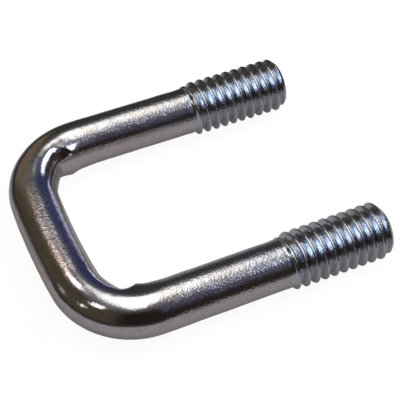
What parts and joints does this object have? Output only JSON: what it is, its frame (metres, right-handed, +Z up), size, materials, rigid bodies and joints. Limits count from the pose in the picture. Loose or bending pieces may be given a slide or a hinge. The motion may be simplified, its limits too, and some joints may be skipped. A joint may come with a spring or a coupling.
{
  "type": "square-bend U-bolt",
  "caption": "Square-bend U-bolt: one round steel bar bent to a flat crown with two parallel legs, each threaded at its tip, bright zinc plated.",
  "frame": {"origin": "middle of the bounding box in X and Y, on the surface that the threads lie on", "axes": "+X across the two legs, +Y along the legs from the crown to the threaded tips, +Z up through the bar's thickness"},
  "size_m": [0.039, 0.0448, 0.0078],
  "materials": {
    "zinc_plated_steel": "bright zinc plate"
  },
  "bodies": {
    "root": {"u_bolt": "zinc_plated_steel"}
  },
  "joints": []
}
